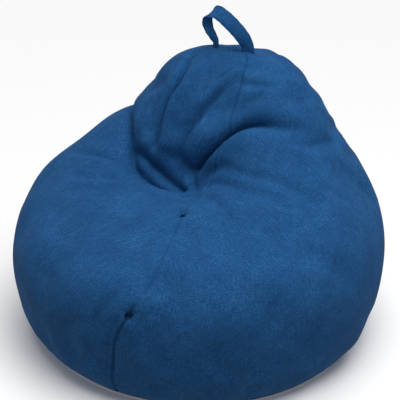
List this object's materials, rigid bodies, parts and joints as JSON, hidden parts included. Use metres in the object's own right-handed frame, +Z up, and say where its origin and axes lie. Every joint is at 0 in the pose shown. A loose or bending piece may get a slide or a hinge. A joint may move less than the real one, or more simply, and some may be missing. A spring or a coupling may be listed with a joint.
{
  "type": "bean bag chair",
  "caption": "Teardrop bean bag chair in blue woven fabric, with a carrying loop on the crown, a zipped cover and a bead-filled liner.",
  "frame": {"origin": "middle of the flat base, on the floor", "axes": "+Z up, the sitter faces -Y, the crown and carrying loop are to the back (+Y), +X is the right-hand side seen from the front"},
  "size_m": [0.9212, 0.9127, 0.7859],
  "materials": {
    "cover_fabric": "plain linen-look weave, matt",
    "handle_fabric": "the cover's fabric folded to a flat strap, matt",
    "liner_fabric": "plain light polyester weave",
    "zip_tape": "tight woven tape, matt",
    "zip_coil": "moulded nylon, satin",
    "zip_metal": "dark enamelled die-cast metal",
    "bead_foam": "loose expanded polystyrene beads"
  },
  "bodies": {
    "bag": {"bead_fill": "bead_foam", "cover_base_panel": "cover_fabric", "cover_crown_patch": "cover_fabric", "cover_left_panel": "cover_fabric", "cover_right_panel": "cover_fabric", "cover_zip_coil_lower": "zip_coil", "cover_zip_coil_upper": "zip_coil", "cover_zip_stops": "zip_metal", "cover_zip_tape_lower": "zip_tape", "cover_zip_tape_upper": "zip_tape", "handle_backing_patch": "liner_fabric", "handle_end_left": "handle_fabric", "handle_end_right": "handle_fabric", "liner_base_panel": "liner_fabric", "liner_crown_patch": "liner_fabric", "liner_left_panel": "liner_fabric", "liner_right_panel": "liner_fabric", "liner_zip_coil_lower": "zip_coil", "liner_zip_coil_upper": "zip_coil", "liner_zip_stops": "zip_metal", "liner_zip_tape_lower": "zip_tape", "liner_zip_tape_upper": "zip_tape"},
    "handle": {"handle_strap": "handle_fabric"},
    "cover_slider": {"cover_zip_slider": "zip_metal"},
    "cover_pull": {"cover_zip_pull": "zip_metal"},
    "liner_slider": {"liner_zip_slider": "zip_metal"}
  },
  "joints": [
    {"name": "handle_flop", "type": "hinge", "parent": "bag", "child": "handle", "pos_m": [0.014, 0.148, 0.69], "axis": [1, 0, 0], "range_deg": [-60, 60]},
    {"name": "cover_zip_slide", "type": "hinge", "parent": "bag", "child": "cover_slider", "pos_m": [0, 0, 0.04265], "axis": [0, 0, 1], "range_deg": [-62.01, 0]},
    {"name": "cover_zip_pull_turn", "type": "hinge", "parent": "cover_slider", "child": "cover_pull", "pos_m": [-0.22483, 0.37409, 0.04075], "axis": [-0.2169, 0.3608, 0.9071], "range_deg": [0, 160]},
    {"name": "liner_zip_slide", "type": "hinge", "parent": "bag", "child": "liner_slider", "pos_m": [0, 0, 0.08864], "axis": [0, 0, 1], "range_deg": [-62.03, 0]}
  ]
}
